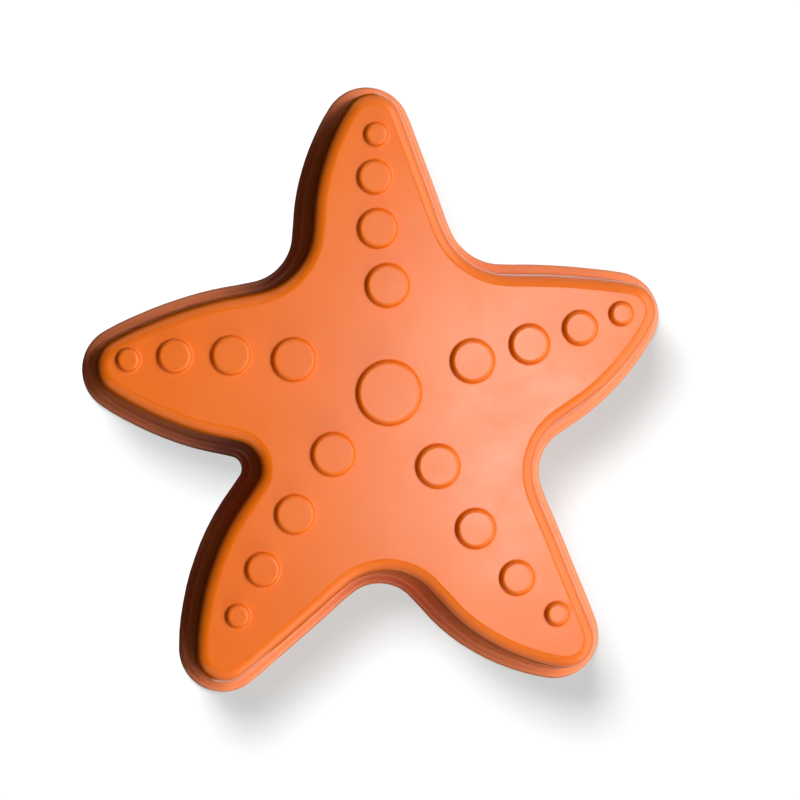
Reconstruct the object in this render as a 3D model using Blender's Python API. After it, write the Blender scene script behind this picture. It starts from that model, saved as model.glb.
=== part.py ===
# Starfish sand mould: one soft silicone shell, open underneath, with a raised stud row on each arm.
# Everything is measured in millimetres from the centre stud and moved to the frame when meshes are made.

from math import atan2, cos, degrees, hypot, radians, sin, sqrt, tan

import bmesh
import bpy

MM = 0.001

# Shell heights and thicknesses.
BODY_HEIGHT = 22.0
WALL = 1.8
FACE_THICK = 2.2
DRAFT_DEG = 3.0

# Rim flange round the open mouth.
RIM_WIDTH = 1.4
RIM_THICK = 2.0
RIM_ROUND = 0.8
ROOT_ROUND = 0.5
SEAT_ROUND = 0.35

# Rounding of the shoulder outside and of the ceiling's edge inside.
SHOULDER_ROUND = 1.5
CEILING_ROUND = 1.2

# Star outline, taken where the outer wall meets the level of the face.
TIP_ROUND = 4.3
STRAIGHT = 1000.0

# Each arm, counter-clockwise: its bearing in degrees, its reach, and the radius of its bowed flank
# before and after the tip. Its studs start at a distance and turn from the bearing, end a gap short of
# the tip, and bow to the left of their line.
ARMS = (
    {"bearing": 8.0, "reach": 50.9, "before": 41.5, "after": STRAIGHT,
     "start": 12.6, "start_turn": -10.0, "end_gap": 10.1, "end_turn": -2.0, "bow": -0.4},
    {"bearing": 76.0, "reach": 50.5, "before": 31.0, "after": STRAIGHT,
     "start": 13.4, "start_turn": -2.0, "end_gap": 8.3, "end_turn": 1.5, "bow": -1.6},
    {"bearing": 149.0, "reach": 42.9, "before": 38.0, "after": 112.0,
     "start": 13.6, "start_turn": 2.0, "end_gap": 5.5, "end_turn": 0.0, "bow": -0.2},
    {"bearing": 223.5, "reach": 45.6, "before": STRAIGHT, "after": 36.5,
     "start": 16.3, "start_turn": -2.5, "end_gap": 6.3, "end_turn": -0.5, "bow": 0.9},
    {"bearing": 304.5, "reach": 44.4, "before": 65.0, "after": 50.0,
     "start": 15.3, "start_turn": -13.5, "end_gap": 4.6, "end_turn": -1.5, "bow": -0.7},
)

# The web after each arm: its bearing, its distance from the centre stud and its round.
WEBS = (
    {"bearing": 39.5, "depth": 26.9, "round": 9.3},
    {"bearing": 109.5, "depth": 24.2, "round": 9.7},
    {"bearing": 187.5, "depth": 23.4, "round": 11.3},
    {"bearing": 261.0, "depth": 23.0, "round": 10.3},
    {"bearing": 336.0, "depth": 22.0, "round": 4.5},
)

# Studs: flat-topped buttons that shrink towards the tips, hollow from inside.
CENTRE_STUD_RADIUS = 5.0
ARM_STUD_RADII = (3.4, 3.1, 2.7, 1.9)
ARM_STUD_PLACES = (0.0, 0.38, 0.72, 1.0)
STUD_HEIGHT = 1.2
STUD_SLOPE = 0.9
STUD_WALL = 0.9
POCKET_DEPTH = 0.9
BLEND_DEPTH = 0.5

# A stud's side from its foot up, as shares of its slope and height, and a hollow's from its mouth up, as
# shares of its radius and depth.
STUD_SIDE = ((0.0, 0.15), (0.4, 0.75), (1.0, 1.0))
POCKET_SIDE = ((1.0, 0.4), (0.7, 1.0))

# Edges that turn by more than this stay crisp.
SHARP_DEG = 40.0

# Facets along each arc.
TIP_STEPS = 10
FLANK_STEPS = 4
WEB_STEPS = 6
ROUND_STEPS = 3
STUD_SIDES = 20
CENTRE_STUD_SIDES = 28
POCKET_SIDES = 16

SILICONE_COLOUR = (0.83, 0.24, 0.05, 1.0)
SILICONE_ROUGHNESS = 0.55


def polar(distance, bearing):
    return (distance * cos(radians(bearing)), distance * sin(radians(bearing)))


def meet_left(start, start_radius, end, end_radius):
    """Where two circles cross, on the left of the way from the first centre to the second."""
    dx, dy = end[0] - start[0], end[1] - start[1]
    span = hypot(dx, dy)
    along = (span * span + start_radius ** 2 - end_radius ** 2) / (2 * span)
    aside = sqrt(max(start_radius ** 2 - along ** 2, 0.0))
    return (start[0] + (along * dx - aside * dy) / span, start[1] + (along * dy + aside * dx) / span)


def heading(start, end):
    return degrees(atan2(end[1] - start[1], end[0] - start[0]))


def arc_points(centre, radius, start_deg, end_deg, steps):
    """Points on an arc with their outward normals; a negative radius makes a hollow arc."""
    points = []
    for i in range(steps):
        turn = radians(start_deg + (end_deg - start_deg) * i / steps)
        normal = (cos(turn), sin(turn))
        points.append(((centre[0] + radius * normal[0], centre[1] + radius * normal[1]), normal))
    return points


def star_outline():
    """The outline as tip arcs, flank arcs and web arcs that all meet tangentially."""
    tips = [polar(arm["reach"] - TIP_ROUND, arm["bearing"]) for arm in ARMS]
    hollows = [polar(web["depth"] + web["round"], web["bearing"]) for web in WEBS]
    outline = []
    for i, arm in enumerate(ARMS):
        following = (i + 1) % len(ARMS)
        web = WEBS[i]
        before = ARMS[i]["before"]
        last_web = WEBS[i - 1]
        flank_in = meet_left(hollows[i - 1], before + last_web["round"], tips[i], before - TIP_ROUND)
        after = arm["after"]
        flank_out = meet_left(tips[i], after - TIP_ROUND, hollows[i], after + web["round"])
        rise = ARMS[following]["before"]
        flank_next = meet_left(hollows[i], rise + web["round"], tips[following], rise - TIP_ROUND)

        tip_from = heading(flank_in, tips[i])
        tip_to = tip_from + (heading(flank_out, tips[i]) - tip_from) % 360
        outline += arc_points(tips[i], TIP_ROUND, tip_from, tip_to, TIP_STEPS)

        fall_to = tip_to + (heading(flank_out, hollows[i]) - tip_to + 180) % 360 - 180
        outline += arc_points(flank_out, after, tip_to, fall_to, FLANK_STEPS)

        web_to = fall_to - (fall_to - heading(flank_next, hollows[i])) % 360
        outline += arc_points(hollows[i], -web["round"], fall_to, web_to, WEB_STEPS)

        rise_to = web_to + (heading(flank_next, tips[following]) - web_to + 180) % 360 - 180
        outline += arc_points(flank_next, rise, web_to, rise_to, FLANK_STEPS)
    return outline


def spread(height):
    """How far the drafted outer wall stands outside the outline at a height."""
    return (BODY_HEIGHT - height) * tan(radians(DRAFT_DEG))


def rounded_top(shift, top, radius):
    """Section points from the flat top over its round to the drafted wall, shifted from the outer wall."""
    centre_height = top - radius
    draft = radians(DRAFT_DEG)
    centre_offset = shift + spread(centre_height + radius * sin(draft)) - radius * cos(draft)
    points = []
    for i in range(ROUND_STEPS + 1):
        turn = radians(90 + (DRAFT_DEG - 90) * i / ROUND_STEPS)
        points.append((centre_offset + radius * cos(turn), centre_height + radius * sin(turn)))
    return points


def shell_section():
    """The wall's section as outward offset and height, from the ceiling round the rim to the face."""
    rim_edge = spread(0.0) + RIM_WIDTH
    mouth = spread(0.0) - WALL
    wall_foot = RIM_THICK + ROOT_ROUND
    section = rounded_top(-WALL, BODY_HEIGHT - FACE_THICK, CEILING_ROUND)
    section += [
        (spread(SEAT_ROUND) - WALL, SEAT_ROUND),
        (mouth + SEAT_ROUND, 0.0),
        (rim_edge - SEAT_ROUND, 0.0),
        (rim_edge, SEAT_ROUND),
    ]
    for i in range(ROUND_STEPS + 1):
        turn = radians(90 * i / ROUND_STEPS)
        section.append((rim_edge - RIM_ROUND * (1 - cos(turn)), RIM_THICK - RIM_ROUND * (1 - sin(turn))))
    section += [(spread(wall_foot) + ROOT_ROUND, RIM_THICK), (spread(wall_foot), wall_foot)]
    section += reversed(rounded_top(0.0, BODY_HEIGHT, SHOULDER_ROUND))
    return section


def frame_centre(outline):
    """The middle of the rim's bounding box, which stands on the frame's origin."""
    rim_edge = spread(0.0) + RIM_WIDTH
    xs = [point[0] + rim_edge * normal[0] for point, normal in outline]
    ys = [point[1] + rim_edge * normal[1] for point, normal in outline]
    return ((min(xs) + max(xs)) / 2, (min(ys) + max(ys)) / 2)


def stud_places():
    """Centre and radius of every stud: the middle one and a bowed row along each arm."""
    places = [((0.0, 0.0), CENTRE_STUD_RADIUS, CENTRE_STUD_SIDES)]
    for arm in ARMS:
        start = polar(arm["start"], arm["bearing"] + arm["start_turn"])
        end = polar(arm["reach"] - arm["end_gap"], arm["bearing"] + arm["end_turn"])
        dx, dy = end[0] - start[0], end[1] - start[1]
        row = hypot(dx, dy)
        for place, radius in zip(ARM_STUD_PLACES, ARM_STUD_RADII):
            bow = arm["bow"] * 4 * place * (1 - place)
            x = start[0] + dx * place - bow * dy / row
            y = start[1] + dy * place + bow * dx / row
            places.append(((x, y), radius, STUD_SIDES))
    return places


def add_turned(mesh, centre, profile, sides, origin):
    """Adds a closed turned body: rings of radius and height, with a flat cap at each end."""
    rings = []
    for radius, height in profile:
        ring = []
        for i in range(sides):
            x, y = polar(radius, 360 * i / sides)
            spot = (centre[0] + x - origin[0], centre[1] + y - origin[1], height)
            ring.append(mesh.verts.new([value * MM for value in spot]))
        rings.append(ring)
    for low, high in zip(rings, rings[1:]):
        for i in range(sides):
            j = (i + 1) % sides
            mesh.faces.new((low[i], low[j], high[j], high[i]))
    mesh.faces.new(list(reversed(rings[0])))
    mesh.faces.new(rings[-1])


def finish_object(name, mesh):
    data = bpy.data.meshes.new(name)
    bmesh.ops.recalc_face_normals(mesh, faces=mesh.faces)
    mesh.to_mesh(data)
    mesh.free()
    data.shade_smooth()
    data.set_sharp_from_angle(angle=radians(SHARP_DEG))
    item = bpy.data.objects.new(name, data)
    bpy.context.collection.objects.link(item)
    return item


def make_shell(outline, origin):
    """Lofts the star outline through every section point and closes the ceiling and the face."""
    mesh = bmesh.new()
    rings = []
    for offset, height in shell_section():
        ring = []
        for point, normal in outline:
            x = point[0] + offset * normal[0] - origin[0]
            y = point[1] + offset * normal[1] - origin[1]
            ring.append(mesh.verts.new((x * MM, y * MM, height * MM)))
        rings.append(ring)
    count = len(outline)
    for inner, outer in zip(rings, rings[1:]):
        for i in range(count):
            j = (i + 1) % count
            mesh.faces.new((inner[i], inner[j], outer[j], outer[i]))
    mesh.faces.new(rings[0])
    mesh.faces.new(rings[-1])
    return finish_object("mould_shell", mesh)


def make_studs(origin):
    """All studs as one helper, with a sloped edge and a flat top, sunk a little into the face."""
    mesh = bmesh.new()
    for centre, radius, sides in stud_places():
        profile = [(radius, BODY_HEIGHT - BLEND_DEPTH)]
        for lean, rise in STUD_SIDE:
            profile.append((radius - lean * STUD_SLOPE, BODY_HEIGHT + rise * STUD_HEIGHT))
        add_turned(mesh, centre, profile, sides, origin)
    return finish_object("stud_helper", mesh)


def make_pockets(origin):
    """The hollows under the studs as one helper, reaching up from below the ceiling."""
    mesh = bmesh.new()
    ceiling = BODY_HEIGHT - FACE_THICK
    for centre, radius, _ in stud_places():
        hollow = radius - STUD_WALL
        profile = [(hollow, ceiling - BLEND_DEPTH)]
        for width, rise in POCKET_SIDE:
            profile.append((width * hollow, ceiling + rise * POCKET_DEPTH))
        add_turned(mesh, centre, profile, POCKET_SIDES, origin)
    return finish_object("pocket_helper", mesh)


def combine(target, helper, operation):
    helper.hide_render = True
    helper.display_type = "WIRE"
    step = target.modifiers.new(helper.name, "BOOLEAN")
    step.operation = operation
    step.object = helper
    step.solver = "EXACT"


def silicone():
    material = bpy.data.materials.new("orange_silicone")
    material.use_nodes = True
    shader = material.node_tree.nodes["Principled BSDF"]
    shader.inputs["Base Color"].default_value = SILICONE_COLOUR
    shader.inputs["Roughness"].default_value = SILICONE_ROUGHNESS
    shader.inputs["Metallic"].default_value = 0.0
    return material


def main():
    for item in list(bpy.data.objects):
        bpy.data.objects.remove(item)
    outline = star_outline()
    origin = frame_centre(outline)
    shell = make_shell(outline, origin)
    combine(shell, make_studs(origin), "UNION")
    combine(shell, make_pockets(origin), "DIFFERENCE")
    shell.data.materials.append(silicone())


main()
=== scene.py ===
# Starfish sand mould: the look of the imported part, in a plain pale studio, seen from above
# Sizes in the dictionaries are millimetres unless a note says otherwise.

from math import radians, tan

import bpy
from mathutils import Matrix, Vector


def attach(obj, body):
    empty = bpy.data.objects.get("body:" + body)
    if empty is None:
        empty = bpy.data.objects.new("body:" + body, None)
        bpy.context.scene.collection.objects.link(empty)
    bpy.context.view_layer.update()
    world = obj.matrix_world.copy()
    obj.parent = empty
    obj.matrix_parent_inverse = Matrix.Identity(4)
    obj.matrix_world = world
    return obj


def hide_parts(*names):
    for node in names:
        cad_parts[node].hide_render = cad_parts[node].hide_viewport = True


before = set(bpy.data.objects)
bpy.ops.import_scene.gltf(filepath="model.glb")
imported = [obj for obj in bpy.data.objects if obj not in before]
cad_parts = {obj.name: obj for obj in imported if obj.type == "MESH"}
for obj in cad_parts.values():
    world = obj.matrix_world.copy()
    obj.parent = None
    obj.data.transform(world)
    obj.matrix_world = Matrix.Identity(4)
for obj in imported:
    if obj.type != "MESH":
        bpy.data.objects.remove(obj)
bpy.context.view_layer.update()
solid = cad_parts["mould_shell"]
mm = 0.001
nearby = 0.01 * mm    # what is closer than this counts as one place, or as one level
levelEnough = 0.9     # the upright part of a normal, past which a face counts as level


# Small helpers for working as by hand

def takeInHand(item):
    if bpy.context.object and bpy.context.object.mode != "OBJECT":
        bpy.ops.object.mode_set(mode="OBJECT")
    bpy.ops.object.select_all(action="DESELECT")
    item.select_set(True)
    bpy.context.view_layer.objects.active = item


def pick(item, kind, wanted):
    # leaves the item in edit mode with just the wanted vertices, edges or faces selected
    takeInHand(item)
    bpy.ops.object.mode_set(mode="EDIT")
    bpy.ops.mesh.select_mode(type=kind)
    bpy.ops.mesh.select_all(action="DESELECT")
    bpy.ops.object.mode_set(mode="OBJECT")
    parts = {"VERT": item.data.vertices, "EDGE": item.data.edges, "FACE": item.data.polygons}[kind]
    for part in parts:
        part.select = bool(wanted(part))
    bpy.ops.object.mode_set(mode="EDIT")


def everything(part):
    return True


def looksUp(face):
    return face.normal.z > levelEnough


def looksDown(face):
    return face.normal.z < -levelEnough


def finishEdit():
    bpy.ops.object.mode_set(mode="OBJECT")


def applyAll(item):
    takeInHand(item)
    for modifier in list(item.modifiers):
        bpy.ops.object.modifier_apply(modifier=modifier.name)


def settle(item):
    # the place goes into the mesh, so the object itself sits at the origin
    takeInHand(item)
    bpy.ops.object.transform_apply(location=True, rotation=True, scale=True)


def duplicateOf(item, name):
    takeInHand(item)
    bpy.ops.object.duplicate(linked=False)
    bpy.context.object.name = name
    return bpy.context.object


def putAway(item):
    bpy.data.objects.remove(item)


def mergedCopy(name):
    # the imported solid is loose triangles, so a copy of it is merged first
    copy = duplicateOf(solid, name)
    copy.parent = None
    for key in list(copy.keys()):
        del copy[key]
    pick(copy, "VERT", everything)
    bpy.ops.mesh.remove_doubles(threshold=nearby)
    finishEdit()
    return copy


def joinedGroups(pairs):
    # groups of numbers that hang together through the given pairs
    neighbours = {}
    for a, b in pairs:
        neighbours.setdefault(a, []).append(b)
        neighbours.setdefault(b, []).append(a)
    groups, seen = [], set()
    for start in neighbours:
        if start in seen:
            continue
        group, waiting = [], [start]
        seen.add(start)
        while waiting:
            here = waiting.pop()
            group.append(here)
            for other in neighbours[here]:
                if other not in seen:
                    seen.add(other)
                    waiting.append(other)
        groups.append(group)
    return groups


# Shell: traced at the rim, then extruded and inset up to the face and up again through the mouth

shellPlan = {
    "traceLevel": 0.35,   # height on the solid at which the rim's edge is traced
    "curveSteps": 3,      # points from one traced point to the next
    "bodyHeight": 22.0,
    "wall": 1.8,
    "faceThick": 2.2,
    "draft": 3.0,         # degrees
    "rimWidth": 1.4,
    "rimThick": 2.0,
    "rimRound": 0.8,
    "rootRound": 0.5,
    "seatRound": 0.35,
    "mouthRound": 0.4,
    "shoulderRound": 1.8,
    "ceilingRound": 1.2,
    "roundSteps": 8,
    "crispAngle": 38,     # degrees: edges sharper than this stay crisp when the shell is smoothed
    "flatPull": 80,       # from 1 to 100: past 50, large faces count for more in the shading
}


def traceRim():
    # the rim's edge, drawn again as a smooth closed curve
    trace = mergedCopy("rimTrace")
    level = shellPlan["traceLevel"] * mm
    pick(trace, "VERT", lambda vertex: abs(vertex.co.z - level) > nearby)
    bpy.ops.mesh.delete(type="VERT")
    finishEdit()
    # the mouth's loop lies at the same level; the rim's reaches further out
    loops = joinedGroups(edge.vertices for edge in trace.data.edges)
    rimLoop = set(max(loops, key=lambda loop: max(trace.data.vertices[i].co.x for i in loop)))
    pick(trace, "VERT", lambda vertex: vertex.index not in rimLoop)
    bpy.ops.mesh.delete(type="VERT")
    finishEdit()
    bpy.ops.object.convert(target="CURVE")
    bpy.ops.object.mode_set(mode="EDIT")
    bpy.ops.curve.select_all(action="SELECT")
    bpy.ops.curve.spline_type_set(type="BEZIER")
    bpy.ops.curve.handle_type_set(type="AUTOMATIC")
    bpy.ops.object.mode_set(mode="OBJECT")
    bpy.context.object.data.resolution_u = shellPlan["curveSteps"]
    bpy.ops.object.convert(target="MESH")
    return bpy.context.object


def weighRing(item, radius):
    # marks the edges of the selected face for rounding, as a share of the widest round, the shoulder's
    finishEdit()
    weights = item.data.attributes.get("bevel_weight_edge")
    if weights is None:
        weights = item.data.attributes.new("bevel_weight_edge", "FLOAT", "EDGE")
    ring = set()
    for face in item.data.polygons:
        if face.select:
            ring.update(face.edge_keys)
    for edge in item.data.edges:
        if edge.key in ring:
            weights.data[edge.index].value = radius / shellPlan["shoulderRound"]
    bpy.ops.object.mode_set(mode="EDIT")


def roundMarked(item, steps):
    rounding = item.modifiers.new("roundings", "BEVEL")
    rounding.limit_method = "WEIGHT"
    rounding.width = shellPlan["shoulderRound"] * mm
    rounding.segments = steps
    rounding.use_clamp_overlap = False
    applyAll(item)


def insetFace(thickness, depth):
    bpy.ops.mesh.inset(thickness=thickness * mm, depth=depth * mm, use_even_offset=True,
                       use_boundary=True, use_relative_offset=False)


def modelShell():
    plan = shellPlan
    ceiling = plan["bodyHeight"] - plan["faceThick"]
    flare = plan["bodyHeight"] * tan(radians(plan["draft"]))
    flareAtRim = (plan["bodyHeight"] - plan["rimThick"]) * tan(radians(plan["draft"]))
    shell = traceRim()
    shell.name = "siliconeShell"
    pick(shell, "EDGE", everything)
    bpy.ops.mesh.edge_face_add()
    bpy.ops.mesh.normals_make_consistent(inside=False)
    finishEdit()
    for vertex in shell.data.vertices:
        vertex.co.z = 0.0
    if shell.data.polygons[0].normal.z < 0:
        pick(shell, "FACE", everything)
        bpy.ops.mesh.flip_normals()
        finishEdit()

    # the flange's thickness, then its top, the drafted wall and the face
    pick(shell, "FACE", everything)
    bpy.ops.mesh.extrude_region_move(TRANSFORM_OT_translate={"value": (0, 0, plan["rimThick"] * mm)})
    finishEdit()
    pick(shell, "FACE", looksUp)
    weighRing(shell, plan["rimRound"])
    insetFace(plan["rimWidth"] + flare - flareAtRim, 0)
    weighRing(shell, plan["rootRound"])
    insetFace(flareAtRim, plan["bodyHeight"] - plan["rimThick"])
    weighRing(shell, plan["shoulderRound"])
    finishEdit()

    # the seat under the flange, the mouth and the drafted inner wall up to the ceiling
    pick(shell, "FACE", looksDown)
    weighRing(shell, plan["seatRound"])
    insetFace(plan["rimWidth"] + plan["wall"], 0)
    weighRing(shell, plan["mouthRound"])
    insetFace(ceiling * tan(radians(plan["draft"])), -ceiling)
    weighRing(shell, plan["ceilingRound"])
    finishEdit()

    roundMarked(shell, plan["roundSteps"])
    return shell


shell = modelShell()
print("shell modelled:", len(shell.data.polygons), "faces, height",
      round(max(vertex.co.z for vertex in shell.data.vertices) / mm, 3))


# Studs and hollows: one is modelled for each size and copied to its places

studPlan = {
    "top": 23.2,          # level of the studs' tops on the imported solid
    "settle": 0.15,       # how much lower the tops stand here, for the thin rings that the photograph shows
    "slope": 0.9,         # how much wider a stud is at its foot than its flat top on the solid
    "root": 0.5,          # thickness of the disc that it grows from, sunk in the face
    "skirt": 0.3,         # ring round the foot that runs out into the face
    "lift": 0.02,         # how far the skirt rises through the face
    "lean": 0.35,         # how far the side leans in from foot to top
    "footRound": 0.2,
    "edgeRound": 0.35,
    "sides": 64,
    "roundSteps": 6,
}

pocketPlan = {
    "top": 20.7,          # level of the hollows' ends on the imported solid
    "neck": 0.7,          # width of that end against the hollow's own
    "depth": 0.9,
    "root": 0.5,
    "skirt": 0.3,
    "lift": 0.02,
    "lean": 0.1,
    "footRound": 0.3,
    "edgeRound": 0.45,
    "sides": 48,
    "roundSteps": 4,
}


def capsAt(mesh, level):
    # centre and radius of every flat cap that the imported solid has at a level
    flat = [face for face in mesh.polygons
            if all(abs(mesh.vertices[i].co.z - level * mm) < nearby for i in face.vertices)]
    caps = []
    for group in joinedGroups(pair for face in flat for pair in face.edge_keys):
        middle = sum((mesh.vertices[i].co for i in group), Vector()) / len(group)
        reach = max((mesh.vertices[i].co.xy - middle.xy).length for i in group)
        caps.append((middle.x / mm, middle.y / mm, reach / mm))
    return caps


def turnedButton(name, radius, foot, rise, plan):
    # a disc whose top is inset to the foot of the button and raised, with rounds at foot and edge
    bpy.ops.object.select_all(action="DESELECT")
    bpy.ops.mesh.primitive_cylinder_add(vertices=plan["sides"], radius=(radius + plan["skirt"]) * mm,
                                        depth=plan["root"] * mm,
                                        location=(0, 0, (foot - plan["lift"] - plan["root"] / 2) * mm))
    button = bpy.context.object
    button.name = name
    settle(button)
    pick(button, "FACE", looksUp)
    insetFace(plan["skirt"], 2 * plan["lift"])
    weighRing(button, plan["footRound"])
    insetFace(plan["lean"], rise - plan["lift"])
    weighRing(button, plan["edgeRound"])
    finishEdit()
    roundMarked(button, plan["roundSteps"])
    return button


def modelStud(radius):
    rise = studPlan["top"] - studPlan["settle"] - shellPlan["bodyHeight"]
    return turnedButton("stud", radius, shellPlan["bodyHeight"], rise, studPlan)


def modelPocket(radius):
    ceiling = shellPlan["bodyHeight"] - shellPlan["faceThick"]
    return turnedButton("pocket", radius, ceiling, pocketPlan["depth"], pocketPlan)


def placeCopies(caps, widen, model):
    made, masters = [], {}
    for x, y, reach in sorted(caps, key=lambda cap: -cap[2]):
        radius = round(reach + widen, 2)
        if radius not in masters:
            masters[radius] = model(radius)
        copy = duplicateOf(masters[radius], "button")
        copy.location = (x * mm, y * mm, 0)
        made.append(copy)
    for master in masters.values():
        putAway(master)
    takeInHand(made[0])
    for item in made:
        item.select_set(True)
    bpy.ops.object.join()
    settle(bpy.context.object)
    return bpy.context.object


def carve(item, tool, operation):
    cut = item.modifiers.new(operation, "BOOLEAN")
    cut.operation = operation
    cut.object = tool
    cut.solver = "EXACT"
    applyAll(item)
    putAway(tool)


reading = mergedCopy("reading")
studCaps = capsAt(reading.data, studPlan["top"])
pocketCaps = capsAt(reading.data, pocketPlan["top"])
putAway(reading)
studs = placeCopies(studCaps, studPlan["slope"], modelStud)
carve(shell, studs, "UNION")
pockets = placeCopies([(x, y, reach / pocketPlan["neck"]) for x, y, reach in pocketCaps], 0, modelPocket)
carve(shell, pockets, "DIFFERENCE")
print("studs:", len(studCaps), "hollows:", len(pocketCaps), "faces:", len(shell.data.polygons))

takeInHand(shell)
bpy.ops.object.shade_smooth_by_angle(angle=radians(shellPlan["crispAngle"]))
evenShading = shell.modifiers.new("even shading", "WEIGHTED_NORMAL")
evenShading.keep_sharp = True
evenShading.weight = shellPlan["flatPull"]
applyAll(shell)
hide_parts("mould_shell")
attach(shell, "root")


# Materials

class Wire:
    # a socket of a shader tree: sums, differences and products of wires add Math nodes
    def __init__(self, tree, socket=None):
        self.tree = tree
        self.socket = socket

    def add(self, kind, settings=None, inputs=None, output=0):
        # any node: its settings are set first, then the values or links of its sockets
        node = self.tree.nodes.new(kind)
        for name, value in (settings or {}).items():
            setattr(node, name, value)
        for name, value in (inputs or {}).items():
            if isinstance(value, Wire):
                self.tree.links.new(value.socket, node.inputs[name])
            else:
                node.inputs[name].default_value = value
        return Wire(self.tree, node.outputs[output] if node.outputs else None)

    def maths(self, operation, first, second):
        return self.add("ShaderNodeMath", {"operation": operation}, {0: first, 1: second})

    def __add__(self, other):
        return self.maths("ADD", self, other)

    __radd__ = __add__

    def __sub__(self, other):
        return self.maths("SUBTRACT", self, other)

    def __rsub__(self, other):
        return self.maths("SUBTRACT", other, self)

    def __mul__(self, other):
        return self.maths("MULTIPLY", self, other)

    __rmul__ = __mul__

    def blend(self, first, second):
        # colours meet in a Mix node, with this wire as its factor
        return self.add("ShaderNodeMix", {"data_type": "RGBA"}, {0: self, 6: first, 7: second}, 2)

    def noise(self, scale, detail, roughness):
        # this wire is the place at which the noise is read
        return self.add("ShaderNodeTexNoise", inputs={"Vector": self, "Scale": scale, "Detail": detail,
                                                      "Roughness": roughness})


def startMaterial(name):
    material = bpy.data.materials.new(name)
    material.use_nodes = True
    material.node_tree.nodes.clear()
    return material, Wire(material.node_tree)


siliconePlan = {
    "orange": (0.765, 0.142, 0.004, 1.0),
    "cloud": (0.790, 0.157, 0.008, 1.0),      # faint lighter clouds
    "cloudFade": (0.35, 0.68),                # level of the noise where a cloud starts, and where it is full
    "rimPaintedSheen": (0.84, 0.240, 0.090, 1.0),     # painted sheen: the flange's colour made lighter and pinker, for the light that the thin silicone catches
    "paintedSheenFade": (4.0, 1.6),                    # height where the painted sheen starts, and where it is full
    "clouds": (0.05, 3.0, 0.5),               # for each noise: scale to the millimetre, detail, roughness
    "smudges": (0.16, 4.0, 0.6),
    "grain": (2.4, 2.0, 0.6),
    "roughness": 0.21,
    "smudgeSpread": 0.10,                     # how much smudges and grain change the roughness
    "grainSpread": 0.06,
    "skinBump": 0.05,                         # strength of the grain's bump, from 0 to 1
    "skinHeight": 0.12,
    "refraction": 1.42,
    "glow": 0.12,                             # share of the light that goes under the skin
    "glowReach": (1.0, 0.35, 0.12),           # red goes furthest
    "glowDepth": 1.2,
}


def makeSilicone():
    plan = siliconePlan
    material, start = startMaterial("orangeSilicone")
    place = start.add("ShaderNodeTexCoord", output="Object")
    inMillimetres = start.add("ShaderNodeMapping", inputs={"Vector": place, "Scale": (1 / mm, 1 / mm, 1 / mm)})
    clouds = inMillimetres.noise(*plan["clouds"])
    smudges = inMillimetres.noise(*plan["smudges"])
    grain = inMillimetres.noise(*plan["grain"])
    height = start.add("ShaderNodeSeparateXYZ", inputs={"Vector": inMillimetres}, output="Z")
    paintedSheenMask = start.add("ShaderNodeMapRange", {"interpolation_type": "SMOOTHSTEP"},
                        {"Value": height, "From Min": plan["paintedSheenFade"][0], "From Max": plan["paintedSheenFade"][1]})
    cloudMask = start.add("ShaderNodeMapRange", inputs={
        "Value": clouds, "From Min": plan["cloudFade"][0], "From Max": plan["cloudFade"][1]})
    colour = cloudMask.blend(plan["orange"], plan["cloud"])
    # painted sheen: the colour turns lighter and pinker towards the floor, on the flange
    colour = paintedSheenMask.blend(colour, plan["rimPaintedSheen"])
    roughness = (plan["roughness"] + plan["smudgeSpread"] * (smudges - 0.5)
                 + plan["grainSpread"] * (grain - 0.5))
    bump = start.add("ShaderNodeBump", inputs={
        "Strength": plan["skinBump"], "Distance": plan["skinHeight"] * mm, "Height": grain})
    shader = start.add("ShaderNodeBsdfPrincipled", inputs={
        "Base Color": colour, "Roughness": roughness, "Normal": bump, "IOR": plan["refraction"],
        "Subsurface Weight": plan["glow"], "Subsurface Radius": plan["glowReach"],
        "Subsurface Scale": plan["glowDepth"] * mm})
    start.add("ShaderNodeOutputMaterial", inputs={"Surface": shader})
    return material


shell.data.materials.clear()
shell.data.materials.append(makeSilicone())
print("silicone made")


# Studio: a pale floor, soft lights and the camera

# spots and aims are given as in the picture: to its right, up the picture, and above the floor
pictureRight = Vector((-0.6455, 0.7638, 0.0))     # the picture's directions in the frame of the part
pictureUp = Vector((-0.7638, -0.6455, 0.0))
centreStud = Vector((-6.529, -5.892, 22.0))       # spots count from here

studioPlan = {
    "floorSize": 8000.0,
    "floorLevel": -0.1,                   # just under the rim, so that the two never share a plane
    "floorWhite": 0.26,                   # the floor's own paint, which takes the shadow
    "floorGlow": 0.57,                    # light of the floor that no shadow takes away
    "glowTint": (0.955, 1.0, 1.0, 1.0),
    "floorBounce": 0.02,                  # how pale the floor is where its light falls back on the mould
    "worldGrey": 0.03,
    "cardGrey": 0.01,
    "lampAim": (0.0, 0.0, 15.0),
    "cameraSpot": (-36.9, -10.2, 712.0),
    "aim": (2.0, -1.0, 16.0),
    "lens": 205.0,
    "clip": (0.01, 20.0),                 # metres
}

lampPlan = {
    # place, width and height, watts, what it lights, and which of matt and gloss it shows in
    "key": {"spot": (410, 80, 725), "size": (420, 640), "power": 8.65, "lights": "mould",
            "shows": ["diffuse"]},
    "side": {"spot": (650, -100, 330), "size": (800, 1600), "power": 9.0, "lights": "mould",
             "shows": ["glossy"]},
    "sheen": {"spot": (72, 2, 622), "size": (40, 110), "power": 0.395, "lights": "mould",
              "shows": ["glossy"]},
    "fill": {"spot": (200, -640, 240), "size": (300, 200), "power": 1.6, "lights": "mould",
             "shows": ["diffuse"]},
    "dim": {"spot": (-600, 60, 200), "size": (300, 500), "power": 0.12, "lights": "mould",
            "shows": ["diffuse"]},
    "under": {"spot": (150, -120, -600), "size": (500, 500), "power": 3.6, "lights": "mould",
              "shows": ["diffuse", "glossy"]},
    "backdrop": {"spot": (-180, 330, 800), "size": (320, 320), "power": 17.5, "lights": "floor",
                 "shows": ["diffuse"]},
}

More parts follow.
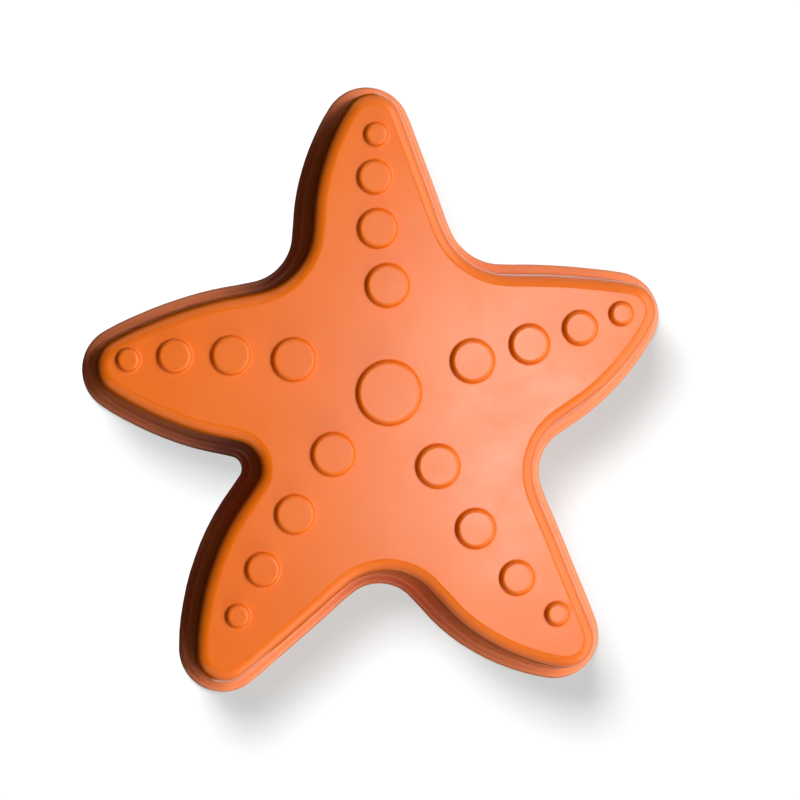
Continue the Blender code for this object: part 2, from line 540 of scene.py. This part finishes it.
cardPlan = {
    # black cards for the gloss: place, what each faces, width and height, and its turn in degrees
    "over": {"spot": (60, 0, 860), "aim": (60, 0, 0), "size": (700, 700), "turn": 0},
    "left": {"spot": (-420, 60, 330), "aim": (0, 0, 15), "size": (900, 760), "turn": 0},
    # low and gap lie flat on the floor beside the mould: painted shadow, dark sheets for the floor's shade
    # that the walls mirror
    "low": {"spot": (-160, 39, -0.05), "aim": (-160, 39, -100), "size": (300, 400), "turn": -14.9},
    "gap": {"spot": (4, -41, -0.04), "aim": (4, -41, -100), "size": (32, 60), "turn": 36},
}


def pictureSpot(right, up, height):
    spot = centreStud + pictureRight * right + pictureUp * up
    return Vector((spot.x, spot.y, height)) * mm


def facing(spot, aim):
    # stands at the spot, looks at the aim, and keeps the picture's right to its right
    back = (spot - aim).normalized()
    right = (pictureRight - back * pictureRight.dot(back)).normalized()
    up = back.cross(right)
    return Matrix(((right.x, up.x, back.x, spot.x), (right.y, up.y, back.y, spot.y),
                   (right.z, up.z, back.z, spot.z), (0, 0, 0, 1)))


def greyOf(value):
    return (value, value, value, 1.0)


def seenDirectly(start):
    # 1 for what the camera sees, straight, mirrored or through glass
    kinds = [start.add("ShaderNodeLightPath", output=name)
             for name in ("Is Camera Ray", "Is Glossy Ray", "Is Transmission Ray")]
    return start.maths("MAXIMUM", start.maths("MAXIMUM", kinds[0], kinds[1]), kinds[2])


def stagePlane(name, size, place):
    bpy.ops.object.select_all(action="DESELECT")
    bpy.ops.mesh.primitive_plane_add(size=1.0)
    plane = bpy.context.object
    plane.name = name
    plane.matrix_world = place @ Matrix.Diagonal((size[0] * mm, size[1] * mm, 1.0, 1.0))
    settle(plane)
    return plane


def makeFloor():
    plan = studioPlan
    floor = stagePlane("floor", (plan["floorSize"], plan["floorSize"]),
                       Matrix.Translation((0, 0, plan["floorLevel"] * mm)))
    material, start = startMaterial("paleFloor")
    pale = start.add("ShaderNodeBsdfDiffuse", inputs={"Color": greyOf(plan["floorWhite"])})
    glow = start.add("ShaderNodeEmission", inputs={"Color": plan["glowTint"], "Strength": plan["floorGlow"]})
    white = start.add("ShaderNodeAddShader", inputs={0: pale, 1: glow})
    dark = start.add("ShaderNodeBsdfDiffuse", inputs={"Color": greyOf(plan["floorBounce"])})
    mixed = start.add("ShaderNodeMixShader", inputs={0: seenDirectly(start), 1: dark, 2: white})
    # from below the floor is clear, so the mouth of the mould can be looked into
    below = start.add("ShaderNodeNewGeometry", output="Backfacing")
    clear = start.add("ShaderNodeBsdfTransparent")
    surface = start.add("ShaderNodeMixShader", inputs={0: below, 1: mixed, 2: clear})
    start.add("ShaderNodeOutputMaterial", inputs={"Surface": surface})
    floor.data.materials.append(material)
    floor.visible_shadow = False
    return floor


def addCard(name, plan):
    # a black card that only reflections see
    place = facing(pictureSpot(*plan["spot"]), pictureSpot(*plan["aim"]))
    card = stagePlane(name + "Card", plan["size"], place @ Matrix.Rotation(radians(plan["turn"]), 4, "Z"))
    material, start = startMaterial(name + "Card")
    black = start.add("ShaderNodeBsdfDiffuse", inputs={"Color": greyOf(studioPlan["cardGrey"])})
    start.add("ShaderNodeOutputMaterial", inputs={"Surface": black})
    card.data.materials.append(material)
    for kind in ("camera", "diffuse", "transmission", "shadow"):
        setattr(card, "visible_" + kind, False)


def makeWorld():
    world = bpy.data.worlds.new("studio")
    bpy.context.scene.world = world
    world.use_nodes = True
    world.node_tree.nodes.clear()
    start = Wire(world.node_tree)
    room = start.add("ShaderNodeBackground", inputs={"Color": greyOf(studioPlan["worldGrey"])})
    white = start.add("ShaderNodeBackground", inputs={"Color": greyOf(1.0)})
    mixed = start.add("ShaderNodeMixShader", inputs={0: seenDirectly(start), 1: room, 2: white})
    start.add("ShaderNodeOutputWorld", inputs={"Surface": mixed})


def makeCamera():
    plan = studioPlan
    bpy.ops.object.select_all(action="DESELECT")
    bpy.ops.object.camera_add()
    camera = bpy.context.object
    camera.name = "camera"
    camera.matrix_world = facing(pictureSpot(*plan["cameraSpot"]), pictureSpot(*plan["aim"]))
    camera.data.lens = plan["lens"]
    camera.data.clip_start, camera.data.clip_end = plan["clip"]
    bpy.context.scene.camera = camera


def addLamp(name, plan, lit):
    bpy.ops.object.select_all(action="DESELECT")
    bpy.ops.object.light_add(type="AREA")
    lamp = bpy.context.object
    lamp.name = name + "Light"
    lamp.matrix_world = facing(pictureSpot(*plan["spot"]), pictureSpot(*studioPlan["lampAim"]))
    lamp.data.shape = "RECTANGLE"
    lamp.data.size = plan["size"][0] * mm
    lamp.data.size_y = plan["size"][1] * mm
    lamp.data.energy = plan["power"]
    lamp.visible_camera = False
    lamp.visible_diffuse = "diffuse" in plan["shows"]
    lamp.visible_glossy = "glossy" in plan["shows"]
    lamp.light_linking.receiver_collection = lit[plan["lights"]]


litBy = {"mould": bpy.data.collections.new("litMould"), "floor": bpy.data.collections.new("litFloor")}
litBy["mould"].objects.link(shell)
litBy["floor"].objects.link(makeFloor())
for cardName, plan in cardPlan.items():
    addCard(cardName, plan)
makeWorld()
makeCamera()
for lampName, plan in lampPlan.items():
    addLamp(lampName, plan, litBy)
bpy.context.scene.view_settings.view_transform = "Standard"
print("studio set")
